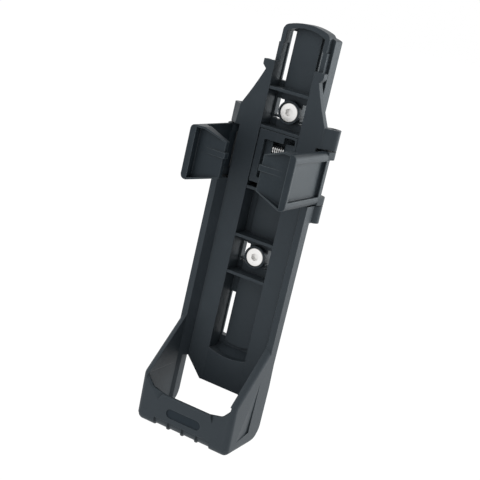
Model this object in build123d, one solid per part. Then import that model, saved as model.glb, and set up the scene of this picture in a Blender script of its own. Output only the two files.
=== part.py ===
"""Bracket that carries a folded bicycle lock, with two sprung clamp arms.

Millimetres, +Z up along the bicycle tube, -Y towards the rider's hand.
The origin is midway between the two mounting screws, on the face that lies against the tube.
Depths are measured forward from that face, so a point at depth d has y = -d.
"""
import math
import os

from build123d import *

# Bicycle tube and its bottle-cage threads
BOSS_SPACING = 64.0
TUBE_RADIUS = 28.0
PAD_HALF = 8.0

# Walls of the moulding
WALL = 2.2
PANEL_WALL = 2.0
RIB_WALL = 1.2

# Centre channel
CHANNEL_HALF = 9.2
CHANNEL_DEPTH = 10.8
CHANNEL_FOOT = -76.5
CHANNEL_FOOT_BULGE = 1.6
CHANNEL_END_SLOPE = 1.0
ISLAND_HALF = 6.0
ISLAND_RISE = 1.2
ISLAND_FOOT_BULGE = 0.8
RIB_HEIGHTS = (40.6, 24.1, -2.3, -23.7, -40.5)
RIB_SETBACK = 0.2

# Rail end above the panel
RAIL_TOP = 68.8
RAIL_CROWN = 2.3
RAIL_DEPTH = 7.0
RAIL_CORNER = 3.0
RAIL_HALF = 10.7
RAIL_WALL = 1.9
RAIL_NECK = 59.5
FLANGE_HALF = 12.3
FLANGE_FRONT = 3.8
FLANGE_REACH = 2.9
FLANGE_TOP = 67.3
FLANGE_CORNER = 0.8

# Strap slits, tie slots and screw seats in the channel floor
SLIT_LENGTH = 21.0
SLIT_WIDTH = 2.1
SLIT_INSET = 0.5
SLIT_FLOOR = 1.1
SLIT_POCKET = 11.0
UPPER_SLIT_FOOT = 43.7
LOWER_SLIT_FOOT = -72.0
TIE_SLOT_WIDTH = 4.0
TIE_SLOT_LENGTH = 7.2
TIE_SLOT_INSET = 0.8
TIE_SLOT_RISE = 0.8
TIE_BAR = 0.7
TIE_NICK = 0.8
SEAT_DEPTH = 2.8
SEAT_CLEARANCE = 0.2
SEAT_RING = 0.6
SEAT_RING_RISE = 0.15

# Front panel and wings
PANEL_SLOPE = 0.126
PANEL_EDGE = 17.9
WAIST_HALF = 18.2
WING_FOOT_HALF = 20.3
WING_KNEE = (19.8, 31.0)
WING_NECK = (12.4, 47.6)
WING_SWEEP = 0.25
EAR_HALF = 14.0
EAR_FOOT = 49.3
EAR_TOP = 51.6
WING_RIM_DEPTH = 3.4
WING_RIM_WALL = 1.6

# Side walls
WALL_OUTER = 23.0
RIM_INNER = 20.2
RIM_DEPTH = 17.0
WALL_TOP = -1.2
WALL_REAR = 11.3
FLARE_TOP = -64.0
WALL_REAR_FOOT = -72.0

# Shoe at the foot
SHOE_TOP = -86.1
SHOE_FOOT = -108.5
SHOE_DEPTH = 39.0
SHOE_LEAN = 1.3
SHOE_REAR = 10.4
SHOE_WALL_INNER = 20.8
SHOE_HEEL_RUN = 12.0
SHOE_HEEL_RISE = 7.8
SHOE_FRONT_RADIUS = 2.2
SHOE_BROW_RADIUS = 3.0
SHOE_TOE_RADIUS = 2.8
SHOE_SIDE_RADIUS = 2.8
LIP_TOP = -93.1
LIP_SHOULDER = (17.2, -91.7)
LIP_SPRING = (20.8, -87.4)
LIP_LEVEL_HALF = 11.0
LIP_ROUNDING = 4.0
LIP_EDGE = 0.6
LIP_REAR_RADIUS = 0.9
FACET_HEAD = (21.2, -88.1)
FACET_FOOT = (13.6, -96.3)
FACET_CORNER = (11.9, -92.6)
FACET_DEPTH = 1.2
BACK_FOOT = -91.9
BACK_FOOT_HALF = 10.4
BACK_SHOULDER = (18.0, -83.1)
BACK_OPENING_HALF = 19.25
LABEL_LENGTH = 17.0
LABEL_HEIGHT = 4.2
LABEL_RECESS = 0.5
LABEL_HEIGHT_ABOVE_FOOT = 8.4
SCOOP_COUNT = 4
SCOOP_PITCH = 7.1
SCOOP_RIB = 0.5
SCOOP_RADIUS = 4.0
SCOOP_BITE = 0.6
SIDE_RECESS = 0.7
SIDE_RECESS_DEPTHS = (21.0, 31.0)
SIDE_RECESS_HEIGHTS = (-101.6, -78.0)
SIDE_RECESS_FALL = 1.6

# Clamp arms and their hinges
ARM_FOOT = -0.8
ARM_TOP = 21.9
ARM_GAP = 0.4
ARM_OPENING = 22.0
HINGE_DEPTH = 6.6
KNUCKLE_RADIUS = 3.1
ARM_KNUCKLE = 3.4
UPPER_KNUCKLE_TOP = 30.8
LOWER_KNUCKLE_FOOT = -8.7
KNUCKLE_REACH = 1.9
FAIRING_TOUCH = 37.0
WEB_OUTER_TOUCH = 16.0
WEB_INNER_TOUCH = 135.0
ARM_WALL = 2.4
ARM_OUTER = 24.1
HINGE_INSET = 2.3
ARM_FRONT = 41.6
ARM_REAR = 8.6
ARM_FRAME = 3.7
ARM_REAR_FRAME = 2.8
ARM_FRONT_FRAME = 1.2
ARM_RECESS = 1.4
ARM_ROOT = ((1.9, 7.2), (3.9, 6.8), (3.9, 9.5), (2.2, 12.0))
JAW_TIP = 8.7
JAW_PLATE_DEPTH = 38.0
JAW_WALL = 2.4
JAW_TIP_FOOT = 3.1
JAW_TIP_TOP = 18.2
JAW_SHOULDER = 18.0
JAW_RIM = 2.7
JAW_EDGE = 0.8
JAW_CORNER = 2.0
JAW_RIDGE_HEIGHT = 2.4
JAW_RIDGE_RISE = 0.6
JAW_RIDGE_LIFT = 2.1
JAW_NOSE = 0.8

# Hinge pins
PIN_RADIUS = 1.25
PIN_GRIP_CLEARANCE = 0.02
PIN_RUNNING_CLEARANCE = 0.05
PIN_SETBACK = 0.6
PIN_CHAMFER = 0.25

# Heel cam on each arm, and the pusher it bears on
HEEL_REACH = 3.6
HEEL_ANGLE = 115.0
HEEL_RADIUS = 1.2
HEEL_GAP = 0.33
PUSHER_FRONT = 7.9
PUSHER_BACK = 4.3
PUSHER_HEIGHT = 17.8
PUSHER_FOOT_BACK = 2.6
PUSHER_FOOT_FRONT = 4.9
PUSHER_FOOT_LENGTH = 4.2
PUSHER_STEP = 1.6
PUSHER_CLEARANCE = 0.3

# Springs between the pushers
SPRING_GAP = 5.8
SPRING_SPREAD = 9.9
SPRING_RADIUS = 2.0
SPRING_WIRE = 0.6
SPRING_PITCH = 0.95
SPRING_DEPTH = 6.1
SPRING_STEPS = 12
WIRE_SIDES = 6
STUD_RADIUS = 1.2
STUD_LENGTH = 1.6

# Cover over the spring compartment
COVER_WALL = 1.5
COVER_SETBACK = 0.3
COVER_CLEARANCE = 0.25
COVER_FOOT = 0.5
LEDGE_WALL = 0.9
WINDOW_LEFT = -6.0
WINDOW_STEP = 3.0
WINDOW_RIGHT = 8.0
WINDOW_FOOT = 2.6
WINDOW_TOP = 19.4
WINDOW_STEP_TOP = 22.3
WINDOW_CORNER = 0.7

# Mounting screws
SCREW_RADIUS = 2.5
SCREW_LENGTH = 12.0
SCREW_NECK_RADIUS = 2.4
SCREW_TIP = 0.6
HEAD_RADIUS = 4.1
HEAD_HEIGHT = 3.2
HEAD_EDGE = 0.3
SOCKET_FLATS = 3.0
SOCKET_DEPTH = 1.6
SCREW_CLEARANCE = 0.25

HINGE_X = ARM_OUTER - HINGE_INSET
ARM_MIDDLE = (ARM_FOOT + ARM_TOP) / 2
SCREW_HEIGHTS = (BOSS_SPACING / 2, -BOSS_SPACING / 2)
CHANNEL_OUTER = CHANNEL_HALF + PANEL_WALL
BEYOND = 60.0
EPS = 0.01


def prism_z(outline, low, high):
    """Solid between two heights, from an outline of (x, depth) points."""
    points = [(x, -depth) for x, depth in outline]
    return Pos(0, 0, low) * extrude(make_face(Polyline(*points, close=True)), amount=high - low)


def prism_y(outline, near, far):
    """Solid between two depths, from an outline of (x, z) points."""
    face = make_face(Polyline(*outline, close=True))
    return extrude(Plane.XZ.offset(near) * face, amount=far - near)


def prism_x(outline, low, high):
    """Solid between two values of x, from an outline of (depth, z) points."""
    points = [(-depth, z) for depth, z in outline]
    return extrude(Plane.YZ.offset(low) * make_face(Polyline(*points, close=True)), amount=high - low)


def block(x0, x1, depth0, depth1, z0, z1):
    """Box from its limits."""
    return Pos((x0 + x1) / 2, -(depth0 + depth1) / 2, (z0 + z1) / 2) * Box(
        x1 - x0, depth1 - depth0, z1 - z0
    )


def post(radius, x, depth, z0, z1):
    """Upright cylinder."""
    return Pos(x, -depth, (z0 + z1) / 2) * Cylinder(radius, z1 - z0)


def both_sides(shape):
    """The shape and its mirror image across the middle plane."""
    return shape + mirror(shape, about=Plane.YZ)


def panel_depth(x):
    """Depth of the panel's front face, which leans forward towards its edge."""
    return CHANNEL_DEPTH + PANEL_SLOPE * (x - CHANNEL_HALF)


def wing_sweep(inset):
    """Slightly hollow curve of the wing's slanted edge, moved inwards by the inset."""
    foot = (WING_KNEE[0] - inset, WING_KNEE[1] - inset)
    head = (WING_NECK[0] - inset, WING_NECK[1])
    middle = ((foot[0] + head[0]) / 2 - WING_SWEEP, (foot[1] + head[1]) / 2 - WING_SWEEP / 2)
    return ThreePointArc(foot, middle, head)


def wing_face():
    """Right half of the panel above the side walls, seen from the front."""
    sweep_edge = wing_sweep(0)
    before = Polyline(
        (CHANNEL_HALF, EAR_TOP),
        (CHANNEL_HALF, WALL_TOP),
        (WAIST_HALF, WALL_TOP),
        (WAIST_HALF, ARM_TOP + ARM_GAP),
        (WING_FOOT_HALF, ARM_TOP + ARM_GAP),
        sweep_edge @ 0,
    )
    after = Polyline(sweep_edge @ 1, (EAR_HALF, EAR_FOOT), (EAR_HALF, EAR_TOP), (CHANNEL_HALF, EAR_TOP))
    return make_face([before, sweep_edge, after])


def rim_face():
    """Band along the wing's slanted edge, seen from the front."""
    outer = wing_sweep(0)
    inner = wing_sweep(WING_RIM_WALL)
    foot = ARM_TOP + ARM_GAP
    start = Polyline(inner @ 0, (WING_FOOT_HALF - WING_RIM_WALL, foot), (WING_FOOT_HALF, foot), outer @ 0)
    end = Polyline(
        outer @ 1, (EAR_HALF, EAR_FOOT), (EAR_HALF, EAR_TOP), (EAR_HALF - WING_RIM_WALL, EAR_TOP), inner @ 1
    )
    return make_face([start, outer, end, inner])


def wings():
    """Upper panel, with the rim that stiffens its slanted edge."""
    edge = WALL_OUTER
    section = [
        (CHANNEL_HALF, panel_depth(CHANNEL_HALF)),
        (edge, panel_depth(edge)),
        (edge, panel_depth(edge) - PANEL_WALL),
        (CHANNEL_HALF, CHANNEL_DEPTH - PANEL_WALL),
    ]
    plate = prism_z(section, WALL_TOP, EAR_TOP) & extrude(Plane.XZ * wing_face(), amount=BEYOND)
    front = [
        (CHANNEL_HALF, panel_depth(CHANNEL_HALF) - WING_RIM_DEPTH),
        (CHANNEL_HALF, panel_depth(CHANNEL_HALF)),
        (edge, panel_depth(edge)),
        (edge, panel_depth(edge) - WING_RIM_DEPTH),
    ]
    rim = extrude(Plane.XZ * rim_face(), amount=BEYOND) & prism_z(front, WALL_TOP, EAR_TOP)
    return plate + rim


def shoe_profile():
    """Side wall, side on: upright rim, flare and shoe, still with a square heel."""
    return [
        (0, WALL_TOP),
        (RIM_DEPTH, WALL_TOP),
        (RIM_DEPTH, FLARE_TOP),
        (SHOE_DEPTH, SHOE_TOP),
        (SHOE_DEPTH - SHOE_LEAN, SHOE_FOOT),
        (0, SHOE_FOOT),
    ]


def side_solid():
    """Everything inside the side profile, with the brow of the shoe rounded."""
    solid = prism_x(shoe_profile(), -BEYOND, BEYOND)
    brow = solid.edges().filter_by(Axis.X).sort_by_distance((0, -SHOE_DEPTH, SHOE_TOP))[0]
    return fillet(brow, SHOE_BROW_RADIUS)


def toe_cut(radius, inset, x0, x1):
    """What a rounded toe leaves off the lower front edge of the shoe between two values of x."""
    face = face_depth(SHOE_FOOT + radius) - inset
    corner = block(x0, x1, face - radius, SHOE_DEPTH + 1, SHOE_FOOT - 1, SHOE_FOOT + radius)
    rod = Pos(0, radius - face, SHOE_FOOT + radius) * Rot(0, 90, 0) * Cylinder(radius, 3 * BEYOND)
    return corner - rod


def foot_cut():
    """What the rounded lower side edge leaves off the shoe on the right."""
    radius = SHOE_SIDE_RADIUS
    corner = block(WALL_OUTER - radius, WALL_OUTER + 1, 0, BEYOND, SHOE_FOOT - 1, SHOE_FOOT + radius)
    rod = Pos(WALL_OUTER - radius, 0, SHOE_FOOT + radius) * Rot(90, 0, 0) * Cylinder(radius, 3 * BEYOND)
    return corner - rod


def corner_cut():
    """What the ball corner, where toe, foot and front edges meet, leaves off on the right."""
    radius = SHOE_SIDE_RADIUS
    face = face_depth(SHOE_FOOT + radius)
    x = WALL_OUTER - radius
    corner = block(x, WALL_OUTER + 1, face - radius, SHOE_DEPTH + 1, SHOE_FOOT - 1, SHOE_FOOT + radius)
    return corner - Pos(x, radius - face, SHOE_FOOT + radius) * Sphere(radius)


def heel_cut(run, rise, rear, foot):
    """What the rounded heel leaves off the square corner at the back of the shoe."""
    centre = (-(rear + run), foot + rise)
    curve = EllipticalCenterArc(centre, run, rise, -90, arc_size=90)
    beyond = 1 - rear
    corner = Polyline(
        curve @ 1, (beyond, foot + rise), (beyond, foot - 1), (centre[0], foot - 1), curve @ 0
    )
    return extrude(Plane.YZ.offset(-BEYOND) * make_face([curve, corner]), amount=2 * BEYOND)


def body_shell():
    """Lower panel, side walls and shoe, as one channel section cut by the side profile."""
    slab = [
        (0, CHANNEL_DEPTH - PANEL_WALL),
        (0, CHANNEL_DEPTH),
        (CHANNEL_HALF, CHANNEL_DEPTH),
        (PANEL_EDGE, panel_depth(PANEL_EDGE)),
        (RIM_INNER, RIM_DEPTH),
        (SHOE_WALL_INNER, SHOE_DEPTH + 1),
        (WALL_OUTER, SHOE_DEPTH + 1),
        (WALL_OUTER, WALL_REAR),
        (PANEL_EDGE, panel_depth(PANEL_EDGE) - PANEL_WALL),
        (CHANNEL_HALF, CHANNEL_DEPTH - PANEL_WALL),
    ]
    shell = prism_z(slab, SHOE_FOOT, WALL_TOP)
    shell += block(RIM_INNER, WALL_OUTER, RIM_DEPTH - EPS, SHOE_DEPTH, SHOE_TOP, WALL_TOP)
    shell += prism_x(
        [
            (WALL_REAR + WALL, WALL_REAR_FOOT),
            (WALL_REAR, WALL_REAR_FOOT),
            (SHOE_REAR, BACK_SHOULDER[1]),
            (SHOE_REAR, SHOE_FOOT),
            (WALL_REAR + WALL, SHOE_FOOT),
        ],
        BACK_OPENING_HALF,
        WALL_OUTER,
    )
    shoulder_x, shoulder_z = BACK_SHOULDER
    window = [
        (0, BACK_FOOT),
        (BACK_FOOT_HALF, BACK_FOOT),
        (shoulder_x, shoulder_z),
        (BACK_OPENING_HALF, shoulder_z),
        (BACK_OPENING_HALF, SHOE_FOOT - 1),
        (0, SHOE_FOOT - 1),
    ]
    shell -= prism_y(window, -EPS, BEYOND)
    return both_sides(shell)


def mouth_face():
    """Outline of the shoe's front opening above its lip, in the plane of the mounting face."""
    corners = [(LIP_LEVEL_HALF, LIP_TOP), LIP_SHOULDER, LIP_SPRING]
    outline = corners + [(LIP_SPRING[0], SHOE_TOP + BEYOND)]
    outline += [(-x, z) for x, z in reversed(outline)]
    face = make_face(Polyline(*outline, close=True))
    return fillet([v for v in face.vertices() if v.Y < SHOE_TOP + 2], LIP_ROUNDING)


def mouth():
    """Front opening of the shoe, widening at its front edge."""
    opening = extrude(Plane.XZ.offset(SHOE_DEPTH - WALL - SHOE_LEAN - 1) * mouth_face(), amount=BEYOND)
    edge = Plane.XZ.offset(face_depth(LIP_TOP) - LIP_EDGE) * mouth_face()
    return opening + extrude(edge, amount=2 * LIP_EDGE, taper=-45)


def lip_rear(shell):
    """The rear edges along the top of the lip."""
    inner = face_depth(LIP_TOP) - WALL
    reach = LIP_SPRING[0] - EPS
    return [
        e
        for e in shell.edges()
        if abs(e.center().X) < reach
        and LIP_TOP - WALL / 2 < e.center().Z < LIP_SPRING[1] + LIP_EDGE
        and abs(e.center().Y + inner) < WALL / 4
    ]


def face_depth(z):
    """Depth of the shoe's leaning front face at a height."""
    return SHOE_DEPTH - SHOE_LEAN * (SHOE_TOP - z) / (SHOE_TOP - SHOE_FOOT)


def lip_facets():
    """Slanting facet at each end of the lip, deepest where the level edge begins."""
    head, foot, corner = FACET_HEAD, FACET_FOOT, FACET_CORNER
    front = [(x, -face_depth(z) - EPS, z) for x, z in (head, foot, corner)]
    deep = (corner[0], front[2][1] + FACET_DEPTH, corner[1])
    sides = [front, [front[0], front[1], deep], [front[1], front[2], deep], [front[2], front[0], deep]]
    return both_sides(Solid(Shell([make_face(Polyline(*points, close=True)).face() for points in sides])))


def shoe_floor():
    """Floor of the shoe with its front lip and the curl at its heel."""
    outer = block(-WALL_OUTER, WALL_OUTER, SHOE_REAR, SHOE_DEPTH, SHOE_FOOT, SHOE_TOP)
    inner = prism_x(
        [
            (SHOE_DEPTH - WALL, SHOE_TOP + 1),
            (SHOE_DEPTH - WALL - SHOE_LEAN, SHOE_FOOT + WALL),
            (SHOE_REAR + WALL, SHOE_FOOT + WALL),
            (SHOE_REAR + WALL, SHOE_TOP + 1),
        ],
        -SHOE_WALL_INNER,
        SHOE_WALL_INNER,
    )
    inner -= heel_cut(SHOE_HEEL_RUN - WALL, SHOE_HEEL_RISE - WALL, SHOE_REAR + WALL, SHOE_FOOT + WALL)
    floor = outer - inner - mouth()
    floor_top = SHOE_FOOT + WALL
    floor -= block(
        -SHOE_WALL_INNER, SHOE_WALL_INNER, -EPS, SHOE_REAR + SHOE_HEEL_RUN, floor_top, 0
    )
    floor -= block(-BEYOND, BEYOND, -EPS, SHOE_DEPTH - WALL - SHOE_LEAN, SHOE_TOP - 1, 0)
    return floor


def channel():
    """Centre channel with its floor and end, the rail above the panel and the flange behind them."""
    half_out = CHANNEL_OUTER
    foot_out = CHANNEL_FOOT - WALL
    near = PANEL_WALL / 2
    walls = block(-half_out, half_out, 0, CHANNEL_DEPTH - near, foot_out, EAR_TOP)
    walls += block(-half_out, half_out, 0, RAIL_DEPTH, EAR_TOP - 1, RAIL_NECK)
    tail = lens(half_out, foot_out, -CHANNEL_FOOT_BULGE, 0, CHANNEL_DEPTH - near)
    crown = rail_head(RAIL_HALF, RAIL_TOP, RAIL_CORNER, 0, RAIL_DEPTH, RAIL_NECK - 1)
    flange = rail_head(FLANGE_HALF, FLANGE_TOP, FLANGE_CORNER, -FLANGE_REACH, FLANGE_FRONT, foot_out)
    return walls + tail + crown + flange


def lens(half, z, bulge, near, far):
    """Plate bounded by a chord at height z and by an arc that bulges up or down from it."""
    chord = Line((-half, z), (half, z))
    arc = ThreePointArc((half, z), (0, z + bulge), (-half, z))
    return extrude(Plane.XZ.offset(near) * make_face([chord, arc]), amount=far - near)


def rail_head(half, top, corner, near, far, foot):
    """Upright plate with an arched top and rounded shoulders."""
    shoulder = top - RAIL_CROWN
    outline = [
        Line((-half, foot), (half, foot)),
        Line((half, foot), (half, shoulder)),
        ThreePointArc((half, shoulder), (0, top), (-half, shoulder)),
        Line((-half, shoulder), (-half, foot)),
    ]
    plate = extrude(Plane.XZ.offset(near) * make_face(outline), amount=far - near)
    tips = plate.edges().filter_by(Axis.Y).sort_by(Axis.Z)[-2:]
    return fillet(tips, corner)


def channel_hollow():
    """Inside of the channel: a flat floor, a raised middle and a sloping lower end."""
    deep = block(-CHANNEL_HALF, CHANNEL_HALF, WALL, BEYOND, CHANNEL_FOOT, RAIL_NECK)
    head = RAIL_HALF - RAIL_WALL
    deep += rail_head(head, RAIL_TOP - RAIL_WALL, RAIL_CORNER - RAIL_WALL, WALL, BEYOND, RAIL_NECK - 1)
    tail = lens(CHANNEL_HALF, CHANNEL_FOOT, -CHANNEL_FOOT_BULGE, WALL, BEYOND)
    ramp = prism_x(
        [
            (WALL - EPS, CHANNEL_FOOT - 2 * CHANNEL_FOOT_BULGE),
            (CHANNEL_DEPTH, CHANNEL_FOOT - 2 * CHANNEL_FOOT_BULGE),
            (WALL - EPS, CHANNEL_FOOT + CHANNEL_END_SLOPE),
        ],
        -CHANNEL_HALF,
        CHANNEL_HALF,
    )
    foot = CHANNEL_FOOT + CHANNEL_END_SLOPE + WALL
    top = WALL + ISLAND_RISE
    island = rail_head(ISLAND_HALF, RAIL_TOP, EPS, WALL - EPS, top, foot)
    island += lens(ISLAND_HALF, foot, -ISLAND_FOOT_BULGE, WALL - EPS, top)
    return deep + tail - ramp - island


def saddle():
    """Hollow of the back: round like the tube at the sides, flat where the screws pass."""
    tube = Pos(0, TUBE_RADIUS, 0) * Cylinder(TUBE_RADIUS, 4 * BEYOND)
    return tube + block(-PAD_HALF, PAD_HALF, -BEYOND, 0, -2 * BEYOND, 2 * BEYOND)


def ribs():
    """Cross ribs of the channel and the two ledges that carry the spring cover."""
    front = CHANNEL_DEPTH - RIB_SETBACK
    half = CHANNEL_HALF + EPS
    bars = Part()
    for height in RIB_HEIGHTS:
        bars += block(-half, half, WALL - EPS, front, height - RIB_WALL / 2, height + RIB_WALL / 2)
    upper = RIB_HEIGHTS[1] - RIB_WALL / 2
    bars += block(-half, half, WALL - EPS, cover_back(), upper - LEDGE_WALL, upper + EPS)
    bars += block(-half, half, WALL - EPS, cover_back(), COVER_FOOT, COVER_FOOT + LEDGE_WALL)
    return bars


def cover_back():
    """Depth of the face that the spring cover seats on."""
    return CHANNEL_DEPTH - COVER_SETBACK - COVER_WALL


def floor_cuts():
    """Strap slits and tie slots in the channel floor."""
    cuts = Part()
    outer = CHANNEL_HALF - SLIT_INSET
    for foot in (UPPER_SLIT_FOOT, LOWER_SLIT_FOOT):
        cuts += block(outer - SLIT_WIDTH, outer, -BEYOND, CHANNEL_DEPTH, foot, foot + SLIT_LENGTH)
        cuts += block(outer - SLIT_WIDTH, SLIT_POCKET, -BEYOND, WALL - SLIT_FLOOR, foot, foot + SLIT_LENGTH)
    tie_outer = CHANNEL_HALF - TIE_SLOT_INSET
    for height in SCREW_HEIGHTS:
        low = height + TIE_SLOT_RISE - TIE_SLOT_LENGTH / 2
        inner = tie_outer - TIE_SLOT_WIDTH
        cuts += block(inner, tie_outer, -BEYOND, CHANNEL_DEPTH / 2, low, low + TIE_SLOT_LENGTH)
        nick = low - TIE_BAR
        cuts += block(inner, tie_outer, -BEYOND, CHANNEL_DEPTH / 2, nick - TIE_NICK, nick)
    return both_sides(cuts)


def seat_rings():
    """Raised ring round each screw head, which keeps the head clear of the lock."""
    rings = Part()
    radius = HEAD_RADIUS + SEAT_CLEARANCE + SEAT_RING
    rise = SEAT_DEPTH + HEAD_HEIGHT + SEAT_RING_RISE
    for height in SCREW_HEIGHTS:
        rings += Pos(0, 0, height) * Rot(90, 0, 0) * Cylinder(
            radius, rise, align=(Align.CENTER, Align.CENTER, Align.MIN)
        )
    return rings


def screw_cuts():
    """Seats and holes for the two screws."""
    cuts = Part()
    for height in SCREW_HEIGHTS:
        axis = Pos(0, 0, height) * Rot(90, 0, 0)
        seat = Pos(0, 0, SEAT_DEPTH) * Cylinder(
            HEAD_RADIUS + SEAT_CLEARANCE, CHANNEL_DEPTH, align=(Align.CENTER, Align.CENTER, Align.MIN)
        )
        hole = Cylinder(SCREW_RADIUS + SCREW_CLEARANCE, 2 * CHANNEL_DEPTH)
        cuts += axis * (seat + hole)
    return cuts


def on_knuckle(angle):
    """Point (x, depth) on the right knuckle's round, at an angle from straight out towards the front."""
    turn = math.radians(angle)
    return HINGE_X + KNUCKLE_RADIUS * math.cos(turn), HINGE_DEPTH + KNUCKLE_RADIUS * math.sin(turn)


def knuckle_fairing(low, high, root_low, root_high):
    """Fairing between the panel's edge and a knuckle, wider at one end than at the other."""

    def section(root, z):
        inner = WAIST_HALF - 1
        touch_x, touch_depth = on_knuckle(FAIRING_TOUCH)
        points = [
            (root, -panel_depth(root) + EPS),
            (touch_x, -touch_depth),
            (HINGE_X, -HINGE_DEPTH),
            (inner, -(HINGE_DEPTH + KNUCKLE_RADIUS - 1)),
            (inner, -panel_depth(inner) + EPS),
        ]
        return Plane.XY.offset(z) * make_face(Polyline(*points, close=True))

    return loft([section(root_low, low), section(root_high, high)])


def hinge_knuckles():
    """Upper and lower hinge knuckles of the right side, still without their pin holes."""
    upper_foot = ARM_TOP + ARM_GAP
    lower_top = ARM_FOOT - ARM_GAP
    upper = post(KNUCKLE_RADIUS, HINGE_X, HINGE_DEPTH, upper_foot, UPPER_KNUCKLE_TOP)
    upper += knuckle_fairing(upper_foot, UPPER_KNUCKLE_TOP, WING_FOOT_HALF, WING_FOOT_HALF - KNUCKLE_REACH / 2)
    lower = post(KNUCKLE_RADIUS, HINGE_X, HINGE_DEPTH, LOWER_KNUCKLE_FOOT, lower_top)
    web = block(
        HINGE_X - KNUCKLE_RADIUS, WALL_OUTER, HINGE_DEPTH, WALL_REAR, LOWER_KNUCKLE_FOOT, lower_top
    )
    return upper + lower + web


def pin_holes():
    """Holes of the right side for the two hinge pins."""
    radius = PIN_RADIUS + PIN_GRIP_CLEARANCE
    upper = post(radius, HINGE_X, HINGE_DEPTH, ARM_TOP, UPPER_KNUCKLE_TOP + 1)
    lower = post(radius, HINGE_X, HINGE_DEPTH, LOWER_KNUCKLE_FOOT - 1, ARM_FOOT)
    return upper + lower


def heel_centre():
    """Centre of the heel's round tip at rest, as (x, depth)."""
    angle = math.radians(HEEL_ANGLE)
    return HINGE_X + HEEL_REACH * math.cos(angle), HINGE_DEPTH - HEEL_REACH * math.sin(angle)


def pusher_travel():
    """How far a pusher slides while its arm opens fully."""
    start = math.radians(HEEL_ANGLE)
    end = math.radians(HEEL_ANGLE + ARM_OPENING)
    return HEEL_REACH * (math.cos(start) - math.cos(end))


def pusher_slots():
    """Slots in the right channel wall that the pusher slides through."""
    room = PUSHER_CLEARANCE
    half = PUSHER_HEIGHT / 2 + room
    return block(
        CHANNEL_HALF - 1,
        FLANGE_HALF + 1,
        PUSHER_BACK - room,
        PUSHER_FRONT + room,
        ARM_MIDDLE - half,
        ARM_MIDDLE + half,
    )


def front_relief():
    """Bare label recess and the row of shallow cells along the toe of the shoe."""
    middle = SHOE_FOOT + LABEL_HEIGHT_ABOVE_FOOT
    slope = SHOE_LEAN / (SHOE_TOP - SHOE_FOOT)
    face = SHOE_DEPTH - SHOE_LEAN + slope * LABEL_HEIGHT_ABOVE_FOOT
    label = extrude(
        Plane.XZ.offset(face - LABEL_RECESS) * Pos(0, middle) * SlotOverall(LABEL_LENGTH, LABEL_HEIGHT),
        amount=LABEL_RECESS + 1,
    )
    scoops = Part()
    half = (SCOOP_PITCH - SCOOP_RIB) / 2
    for i in range(SCOOP_COUNT):
        middle_x = (i - (SCOOP_COUNT - 1) / 2) * SCOOP_PITCH
        scoops += toe_cut(SCOOP_RADIUS, SCOOP_BITE, middle_x - half, middle_x + half)
    return label + scoops


def side_recess():
    """Shallow hollow on the outer face of the shoe, deepest at its lower rear corner."""
    rear, front = SIDE_RECESS_DEPTHS
    low, high = SIDE_RECESS_HEIGHTS
    outline = [(rear, low), (front, low - SIDE_RECESS_FALL), (front, high), (rear, high)]
    room = prism_x(outline, WALL_OUTER - 2 * SIDE_RECESS, WALL_OUTER + 1)
    across = Vector(SIDE_RECESS, rear - front, 0)
    along = Vector(SIDE_RECESS, 0, high - low)
    floor = Plane((WALL_OUTER - SIDE_RECESS, -rear, low), x_dir=across, z_dir=along.cross(across))
    return room & (floor * Box(4 * BEYOND, 4 * BEYOND, BEYOND, align=(Align.CENTER, Align.CENTER, Align.MIN)))


def cradle():
    """The moulding that carries everything: channel, panel, walls, shoe and knuckles."""
    shell = (body_shell() + shoe_floor()) & side_solid()
    shell -= heel_cut(SHOE_HEEL_RUN, SHOE_HEEL_RISE, SHOE_REAR, SHOE_FOOT)
    for side in (1, -1):
        front = [e for e in shell.edges() if is_front_upright(e, side)]
        shell = fillet(front, SHOE_FRONT_RADIUS)
    shell = fillet(lip_rear(shell), LIP_REAR_RADIUS)
    shell -= lip_facets()
    shell -= toe_cut(SHOE_TOE_RADIUS, 0, -BEYOND, BEYOND) + both_sides(foot_cut() + corner_cut())
    shell += both_sides(wings() + hinge_knuckles()) + channel()
    shell -= channel_hollow()
    shell += ribs()
    shell -= floor_cuts()
    shell += seat_rings()
    shell -= screw_cuts()
    shell -= both_sides(pin_holes() + pusher_slots() + side_recess())
    shell -= front_relief()
    shell -= saddle()
    return shell


def is_front_upright(edge, side):
    """True for the near-upright outer front edge of the shoe on one side."""
    middle = edge.center()
    return (
        abs(middle.X - side * WALL_OUTER) < EPS
        and -middle.Y > SHOE_DEPTH - SHOE_LEAN
        and edge.length > (SHOE_TOP - SHOE_FOOT) / 2
    )


def arm_section():
    """Plan of the right arm: side wall, rounded corner and jaw."""
    inner = ARM_OUTER - ARM_WALL
    jaw_back = JAW_PLATE_DEPTH - JAW_WALL
    return [
        (ARM_OUTER, ARM_REAR),
        (ARM_OUTER, ARM_FRONT),
        (ARM_OUTER - JAW_RIM, ARM_FRONT),
        (JAW_TIP, JAW_PLATE_DEPTH),
        (JAW_TIP, jaw_back),
        (inner - ARM_WALL, jaw_back),
        (inner, jaw_back - ARM_WALL),
        (inner, ARM_REAR),
    ]


def arm_front():
    """Front outline of the right arm: the jaw narrows towards its tip, above from a shoulder on."""
    return [
        (ARM_OUTER + 1, ARM_FOOT),
        (ARM_OUTER + 1, ARM_TOP),
        (JAW_SHOULDER, ARM_TOP),
        (JAW_TIP, JAW_TIP_TOP),
        (JAW_TIP, JAW_TIP_FOOT),
        (ARM_OUTER - JAW_RIM, ARM_FOOT),
    ]


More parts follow.
